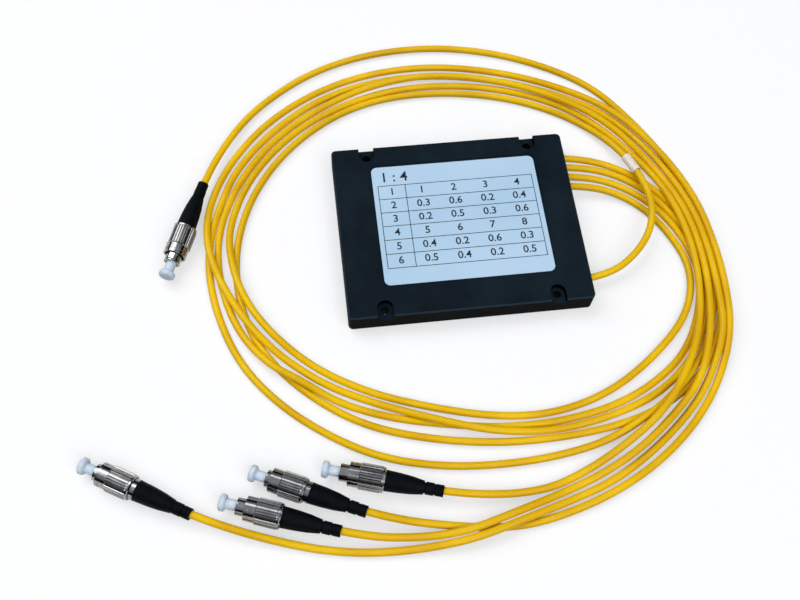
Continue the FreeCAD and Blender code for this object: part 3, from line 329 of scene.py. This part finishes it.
# Leads: 3 mm fibre cords in extruded yellow PVC, lying in two loose turns round the case. The routes are
# the CAD's, in metres, with the strands on the right drawn a little closer. Each lead ends inside the boot
# of its plug.
CABLE_DIAMETER = 0.003
AXIS_HEIGHT = 0.005
BEFORE_BOOT = 0.008
IN_BOOT = 0.009
ROUTES = {
    "input": [
        (0.04, -0.0295, 0.005), (0.058, -0.0295, 0.005), (0.075, -0.018, 0.0066),
        (0.083, -0.004, 0.0079), (0.083, 0.013, 0.0079), (0.076, 0.034, 0.0047), (0.061, 0.052, 0.0015),
        (0.041, 0.0635, 0.0015), (0.02, 0.07, 0.0015), (-0.004, 0.073, 0.0015), (-0.028, 0.071, 0.0015),
        (-0.049, 0.063, 0.0015), (-0.069, 0.048, 0.0015), (-0.084, 0.028, 0.0015),
        (-0.092, 0.007, 0.0015), (-0.094, -0.013, 0.0015), (-0.091, -0.033, 0.0015),
        (-0.083, -0.05, 0.0015), (-0.069, -0.066, 0.0015), (-0.05, -0.08, 0.0015),
        (-0.028, -0.088, 0.0015), (-0.002, -0.093, 0.0015), (0.022, -0.094, 0.0015),
        (0.048, -0.092, 0.0015), (0.069, -0.086, 0.0015), (0.0865, -0.0755, 0.0015),
        (0.0983, -0.059, 0.0015), (0.1064, -0.039, 0.0015), (0.1075, -0.017, 0.0015),
        (0.1048, 0.006, 0.0015), (0.0972, 0.028, 0.0015), (0.0863, 0.0493, 0.0015), (0.072, 0.07, 0.0015),
        (0.051, 0.084, 0.0015), (0.027, 0.094, 0.0015), (-0.001, 0.099, 0.0015), (-0.03, 0.097, 0.0015),
        (-0.055, 0.089, 0.0015), (-0.075, 0.076, 0.0015), (-0.089, 0.062, 0.0022)],
    "output_1": [
        (0.04, 0.0304, 0.005), (0.058, 0.0304, 0.005), (0.0845, 0.019, 0.0015), (0.1005, -0.006, 0.0015),
        (0.1049, -0.028, 0.0015), (0.1, -0.048, 0.0015), (0.09, -0.0665, 0.0015),
        (0.074, -0.0815, 0.005), (0.0625, -0.089, 0.005), (0.045, -0.097, 0.0015),
        (0.024, -0.101, 0.0015), (0.001, -0.102, 0.0015), (-0.022, -0.1, 0.0015),
        (-0.044, -0.094, 0.0015), (-0.063, -0.083, 0.0015), (-0.08, -0.069, 0.0015),
        (-0.094, -0.051, 0.0015), (-0.102, -0.029, 0.0015), (-0.105, -0.008, 0.0015),
        (-0.103, 0.009, 0.0015), (-0.0985, 0.023, 0.0015), (-0.091, 0.04, 0.0015),
        (-0.075, 0.058, 0.0015), (-0.054, 0.073, 0.0015), (-0.03, 0.081, 0.0015), (0, 0.083, 0.0015),
        (0.03, 0.077, 0.0015), (0.055, 0.067, 0.0015), (0.077, 0.053, 0.0015), (0.092, 0.031, 0.0015),
        (0.1004, 0.005, 0.0047), (0.1034, -0.015, 0.0047), (0.103, -0.037, 0.0047),
        (0.1003, -0.058, 0.0052), (0.09, -0.077, 0.0015), (0.078, -0.09, 0.0015), (0.061, -0.103, 0.0015),
        (0.043, -0.113, 0.0015), (0.025, -0.1185, 0.0015), (0.006, -0.124, 0.0047),
        (-0.013, -0.129, 0.0047), (-0.034, -0.13, 0.0015), (-0.055, -0.129, 0.0015),
        (-0.077, -0.124, 0.0015)],
    "output_2": [
        (0.04, 0.0256, 0.005), (0.058, 0.0256, 0.005), (0.0815, 0.017, 0.0015), (0.0972, -0.006, 0.0015),
        (0.1018, -0.028, 0.0015), (0.0966, -0.0485, 0.0015), (0.0865, -0.066, 0.0015),
        (0.0705, -0.0795, 0.0015), (0.05, -0.087, 0.0015), (0.026, -0.091, 0.0015),
        (0.002, -0.09, 0.005), (-0.022, -0.082, 0.005), (-0.042, -0.073, 0.0015),
        (-0.06, -0.064, 0.0015), (-0.075, -0.052, 0.0015), (-0.085, -0.042, 0.0047),
        (-0.094, -0.028, 0.0047), (-0.102, -0.01, 0.0047), (-0.105, 0.006, 0.0047),
        (-0.103, 0.024, 0.0015), (-0.094, 0.043, 0.0015), (-0.078, 0.062, 0.0015),
        (-0.056, 0.077, 0.0015), (-0.03, 0.086, 0.0015), (0, 0.088, 0.0015), (0.03, 0.082, 0.0015),
        (0.055, 0.072, 0.0015), (0.077, 0.055, 0.0047), (0.0935, 0.032, 0.0047),
        (0.1035, 0.0075, 0.0047), (0.1065, -0.014, 0.0047), (0.1065, -0.036, 0.0047),
        (0.1035, -0.057, 0.0047), (0.095, -0.076, 0.0015), (0.082, -0.092, 0.0015),
        (0.066, -0.105, 0.0015), (0.048, -0.115, 0.0015), (0.028, -0.122, 0.0015),
        (0.007, -0.126, 0.0015), (-0.014, -0.124, 0.0015)],
    "output_3": [
        (0.04, 0.0208, 0.005), (0.058, 0.0208, 0.005), (0.0805, 0.012, 0.0015), (0.094, -0.007, 0.0015),
        (0.0988, -0.028, 0.0015), (0.0935, -0.0475, 0.0015), (0.083, -0.065, 0.0015),
        (0.066, -0.077, 0.0015), (0.048, -0.084, 0.0015), (0.027, -0.0875, 0.0015),
        (0.005, -0.0875, 0.0015), (-0.016, -0.084, 0.0015), (-0.038, -0.079, 0.0015),
        (-0.057, -0.071, 0.0015), (-0.071, -0.061, 0.0047), (-0.083, -0.053, 0.0047),
        (-0.094, -0.037, 0.0015), (-0.1, -0.017, 0.0015), (-0.101, 0.002, 0.0015),
        (-0.097, 0.019, 0.0015), (-0.088, 0.037, 0.0015), (-0.073, 0.055, 0.0015),
        (-0.053, 0.069, 0.0015), (-0.029, 0.077, 0.0047), (-0.002, 0.081, 0.0047),
        (0.028, 0.075, 0.0047), (0.053, 0.064, 0.0047), (0.074, 0.048, 0.0047), (0.089, 0.028, 0.0015),
        (0.097, 0.005, 0.0047), (0.1002, -0.014, 0.0047), (0.0995, -0.036, 0.0047),
        (0.095, -0.057, 0.0047), (0.086, -0.077, 0.0047), (0.072, -0.09, 0.0047),
        (0.056, -0.102, 0.0047), (0.039, -0.11, 0.0015), (0.022, -0.1155, 0.0015),
        (0.004, -0.121, 0.0052), (-0.015, -0.126, 0.0052), (-0.032, -0.126, 0.0025)],
    "output_4": [
        (0.04, 0.016, 0.005), (0.058, 0.016, 0.005), (0.0785, 0.008, 0.0015), (0.09, -0.009, 0.0015),
        (0.0955, -0.028, 0.0015), (0.0885, -0.048, 0.0015), (0.07, -0.065, 0.0015),
        (0.049, -0.078, 0.0015), (0.026, -0.084, 0.0015), (0.004, -0.083, 0.0015),
        (-0.02, -0.077, 0.0015), (-0.045, -0.068, 0.0015), (-0.066, -0.055, 0.0015),
        (-0.082, -0.039, 0.0047), (-0.091, -0.023, 0.0047), (-0.095, -0.008, 0.0047),
        (-0.096, 0.01, 0.0015), (-0.087, 0.033, 0.0015), (-0.0705, 0.0525, 0.0015),
        (-0.051, 0.066, 0.0015), (-0.026, 0.075, 0.0015), (0, 0.077, 0.0015), (0.027, 0.073, 0.0015),
        (0.0515, 0.0635, 0.0015), (0.07, 0.049, 0.0015), (0.0845, 0.029, 0.0015), (0.093, 0.008, 0.0049),
        (0.097, -0.013, 0.0047), (0.096, -0.035, 0.0047), (0.0905, -0.056, 0.0047),
        (0.079, -0.075, 0.0082), (0.067, -0.089, 0.0082), (0.052, -0.099, 0.0047),
        (0.034, -0.108, 0.0015), (0.015, -0.114, 0.0015)],
}
PLUGS = {
    "a": ("input", (-0.105, 0.0315), -111.0),
    "b": ("output_1", (-0.114, -0.109), 150.0),
    "c": ("output_2", (-0.0505, -0.115), 155.0),
    "d": ("output_4", (-0.0215, -0.1105), 163.0),
    "e": ("output_3", (-0.0605, -0.121), 160.0),
}
PLUG_PIECES = ("boot", "crimp_sleeve", "plug_body", "ferrule", "clip_ring", "coupling_nut", "dust_cap")
JACKET_PATCH_MM = 22.0
JACKET_GRAIN_MM = 0.4
yellow_pvc, tree, place = new_material("extruded_yellow_pvc")
patches = add(tree, "ShaderNodeTexNoise", {"Scale": per_metre(JACKET_PATCH_MM), "Detail": 1.0}, Vector=place)
grain = add(tree, "ShaderNodeTexNoise", {"Scale": per_metre(JACKET_GRAIN_MM), "Detail": 2.0}, Vector=place)
relief = add(tree, "ShaderNodeBump", {"Strength": 0.03, "Distance": 0.0001}, Height=grain.outputs["Fac"])
tint = add(tree, "ShaderNodeValToRGB", {"stops": ((0.35, colour("#dfae00")), (0.65, colour("#f0c304")))},
           Fac=patches.outputs["Fac"])
dull = add(tree, "ShaderNodeMapRange", {"To Min": 0.3, "To Max": 0.42}, Value=patches.outputs["Fac"])
shader = add(tree, "ShaderNodeBsdfPrincipled",
             {"Specular IOR Level": 0.2, "Subsurface Weight": 0.06,
              "Subsurface Radius": (0.002, 0.0012, 0.0003)},
             Base_Color=tint.outputs["Color"], Roughness=dull.outputs["Result"],
             Normal=relief.outputs["Normal"])
add(tree, "ShaderNodeOutputMaterial", {}, Surface=shader.outputs["BSDF"])


def pointing(heading):
    """Direction level with the table, at a heading in degrees."""
    return Vector((math.cos(math.radians(heading)), math.sin(math.radians(heading)), 0))


for letter, (lead, rear, heading) in PLUGS.items():
    ahead = pointing(heading)
    mouth = Vector((*rear, AXIS_HEIGHT))
    points = [Vector(point) for point in ROUTES[lead]]
    points += [mouth - BEFORE_BOOT * ahead, mouth + IN_BOOT * ahead]
    line = bpy.data.curves.new(f"{lead}_jacket", "CURVE")
    line.dimensions = "3D"
    line.resolution_u = 12
    line.bevel_depth = CABLE_DIAMETER / 2
    line.bevel_resolution = 5
    line.use_fill_caps = True
    spline = line.splines.new("NURBS")
    spline.points.add(len(points) - 1)
    for control, point in zip(spline.points, points):
        control.co = (*point, 1.0)
    spline.order_u = 3
    spline.use_endpoint_u = True
    line.materials.append(yellow_pvc)
    cable = bpy.data.objects.new(f"{lead}_jacket", line)
    scene.collection.objects.link(cable)
    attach(cable, "module")
    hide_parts(f"{lead}_cable")
    on_lead = [nodes[f"{piece}_{letter}"] for piece in PLUG_PIECES]
    if lead == "input":
        on_lead.append(nodes["marker_sleeve"])

# Marker sleeve: a short tube of clear PVC film, slipped loose on the input lead. Handling has hazed it, so
# the lead shows through only faintly.
SLEEVE_HAZE_MM = 1.6
clear_film, tree, place = new_material("hazed_clear_pvc_film")
haze = add(tree, "ShaderNodeTexNoise", {"Scale": per_metre(SLEEVE_HAZE_MM), "Detail": 3.0}, Vector=place)
dull = add(tree, "ShaderNodeMapRange", {"To Min": 0.25, "To Max": 0.45}, Value=haze.outputs["Fac"])
tint = add(tree, "ShaderNodeValToRGB", {"stops": ((0.35, colour("#fbf4e6")), (0.65, colour("#fffcf5")))},
           Fac=haze.outputs["Fac"])
shader = add(tree, "ShaderNodeBsdfPrincipled", {"Transmission Weight": 0.25, "IOR": 1.53},
             Base_Color=tint.outputs["Color"], Roughness=dull.outputs["Result"])
add(tree, "ShaderNodeOutputMaterial", {}, Surface=shader.outputs["BSDF"])
dress(clear_film, "marker_sleeve")

# Boots: black thermoplastic rubber, moulded in one piece and pushed over the crimp. The finish is satin,
# with a fine grain and a trace of dust.
BOOT_DUST_MM = 4.0
BOOT_GRAIN_MM = 0.25
black_rubber, tree, place = new_material("moulded_black_rubber")
dust = add(tree, "ShaderNodeTexNoise", {"Scale": per_metre(BOOT_DUST_MM), "Detail": 4.0}, Vector=place)
grain = add(tree, "ShaderNodeTexNoise", {"Scale": per_metre(BOOT_GRAIN_MM), "Detail": 2.0}, Vector=place)
relief = add(tree, "ShaderNodeBump", {"Strength": 0.2, "Distance": 0.00008}, Height=grain.outputs["Fac"])
tint = add(tree, "ShaderNodeValToRGB", {"stops": ((0.35, colour("#060a0d")), (0.65, colour("#0b1014")))},
           Fac=dust.outputs["Fac"])
dull = add(tree, "ShaderNodeMapRange", {"To Min": 0.4, "To Max": 0.55}, Value=dust.outputs["Fac"])
shader = add(tree, "ShaderNodeBsdfPrincipled", {"Specular IOR Level": 0.04}, Base_Color=tint.outputs["Color"],
             Roughness=dull.outputs["Result"], Normal=relief.outputs["Normal"])
add(tree, "ShaderNodeOutputMaterial", {}, Surface=shader.outputs["BSDF"])
dress(black_rubber, *(f"boot_{letter}" for letter in PLUGS))

# Plug bodies and coupling nuts: turned brass with bright nickel plate. It mirrors the room in hard light
# and dark bands, softened by fine turning marks and a haze from fingers. The crimp sleeves and clip rings
# hidden inside are drawn steel.
NICKEL_HAZE_MM = 3.0
TURNING_MARK_MM = 0.15
bright_nickel, tree, place = new_material("bright_nickel_plate")
haze = add(tree, "ShaderNodeTexNoise", {"Scale": per_metre(NICKEL_HAZE_MM), "Detail": 4.0}, Vector=place)
marks = add(tree, "ShaderNodeTexNoise", {"Scale": per_metre(TURNING_MARK_MM), "Detail": 2.0}, Vector=place)
relief = add(tree, "ShaderNodeBump", {"Strength": 0.06, "Distance": 0.00003}, Height=marks.outputs["Fac"])
tint = add(tree, "ShaderNodeValToRGB", {"stops": ((0.35, colour("#8c8c8c")), (0.65, colour("#9e9e9d")))},
           Fac=haze.outputs["Fac"])
dull = add(tree, "ShaderNodeMapRange", {"To Min": 0.07, "To Max": 0.15}, Value=haze.outputs["Fac"])
shader = add(tree, "ShaderNodeBsdfPrincipled", {"Metallic": 1.0}, Base_Color=tint.outputs["Color"],
             Roughness=dull.outputs["Result"], Normal=relief.outputs["Normal"])
add(tree, "ShaderNodeOutputMaterial", {}, Surface=shader.outputs["BSDF"])
dress(bright_nickel, *(f"{piece}_{letter}" for letter in PLUGS for piece in ("plug_body", "coupling_nut")))
dress(drawn_steel, *(f"{piece}_{letter}" for letter in PLUGS for piece in ("crimp_sleeve", "clip_ring")))

# Threads in the nuts' mouths: a fine metric screw thread cut in each bore, seen in the gap round the
# barrel. The ridge is a triangle wound along the bore, with its foot just inside the wall, and it is lower
# than a real one so that it clears the plug's key.
THREAD_PITCH = 0.00075
THREAD_FOOT = 0.00403
THREAD_CREST = 0.00392
THREAD_TURNS = 7
THREAD_STEPS = 48
FIRST_TURN = 0.5
HALF_FOOT = 0.45
NUT_FRONT_AT = 0.0357
NUT_AHEAD = {"a": 0.0, "b": 0.0016, "c": 0.0016, "d": 0.0, "e": 0.0}
for letter, (_, rear, heading) in PLUGS.items():
    ahead = pointing(heading)
    aside = Vector((-ahead.y, ahead.x, 0))
    front = Vector((*rear, AXIS_HEIGHT)) + (NUT_FRONT_AT + NUT_AHEAD[letter]) * ahead
    ridge_spots = []
    ridge_faces = []
    for step in range(THREAD_TURNS * THREAD_STEPS + 1):
        angle = 2 * math.pi * step / THREAD_STEPS
        outward = math.cos(angle) * aside + math.sin(angle) * Vector((0, 0, 1))
        depth = FIRST_TURN + step / THREAD_STEPS
        for radius, shift in ((THREAD_FOOT, -HALF_FOOT), (THREAD_CREST, 0.0), (THREAD_FOOT, HALF_FOOT)):
            ridge_spots.append(front - (depth + shift) * THREAD_PITCH * ahead + radius * outward)
    last = len(ridge_spots) - 3
    for first in range(0, last, 3):
        for side in range(3):
            other = (side + 1) % 3
            ridge_faces.append((first + side, first + other, first + 3 + other, first + 3 + side))
    ridge_faces += [(2, 1, 0), (last, last + 1, last + 2)]
    ridge_mesh = bpy.data.meshes.new(f"nut_thread_{letter}")
    ridge_mesh.from_pydata(ridge_spots, [], ridge_faces)
    ridge_mesh.materials.append(bright_nickel)
    ridge = bpy.data.objects.new(f"nut_thread_{letter}", ridge_mesh)
    scene.collection.objects.link(ridge)
    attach(ridge, f"nut_{letter}")

# Ferrules: white zirconia, ground and polished, pressed into the plug bodies. Under the dust caps they
# have the soft gloss of glazed china.
FERRULE_CLOUD_MM = 2.0
white_zirconia, tree, place = new_material("polished_white_zirconia")
clouds = add(tree, "ShaderNodeTexNoise", {"Scale": per_metre(FERRULE_CLOUD_MM), "Detail": 2.0}, Vector=place)
tint = add(tree, "ShaderNodeValToRGB", {"stops": ((0.35, colour("#ecebe7")), (0.65, colour("#f5f4f1")))},
           Fac=clouds.outputs["Fac"])
shader = add(tree, "ShaderNodeBsdfPrincipled", {"Roughness": 0.12, "IOR": 2.1},
             Base_Color=tint.outputs["Color"])
add(tree, "ShaderNodeOutputMaterial", {}, Surface=shader.outputs["BSDF"])
dress(white_zirconia, *(f"ferrule_{letter}" for letter in PLUGS))

# Dust caps: soft natural polyethylene, moulded thin and pushed over the ferrule. It is milky and bluish,
# and light that soaks into it rounds off its shading.
CAP_CLOUD_MM = 3.0
milky_polyethylene, tree, place = new_material("milky_polyethylene")
clouds = add(tree, "ShaderNodeTexNoise", {"Scale": per_metre(CAP_CLOUD_MM), "Detail": 3.0}, Vector=place)
tint = add(tree, "ShaderNodeValToRGB", {"stops": ((0.35, colour("#c6d4e4")), (0.65, colour("#d4e1ee")))},
           Fac=clouds.outputs["Fac"])
dull = add(tree, "ShaderNodeMapRange", {"To Min": 0.28, "To Max": 0.42}, Value=clouds.outputs["Fac"])
shader = add(tree, "ShaderNodeBsdfPrincipled",
             {"Subsurface Weight": 0.3, "Subsurface Radius": (0.0012, 0.0015, 0.002),
              "Specular IOR Level": 0.3},
             Base_Color=tint.outputs["Color"], Roughness=dull.outputs["Result"])
add(tree, "ShaderNodeOutputMaterial", {}, Surface=shader.outputs["BSDF"])
dress(milky_polyethylene, *(f"dust_cap_{letter}" for letter in PLUGS))
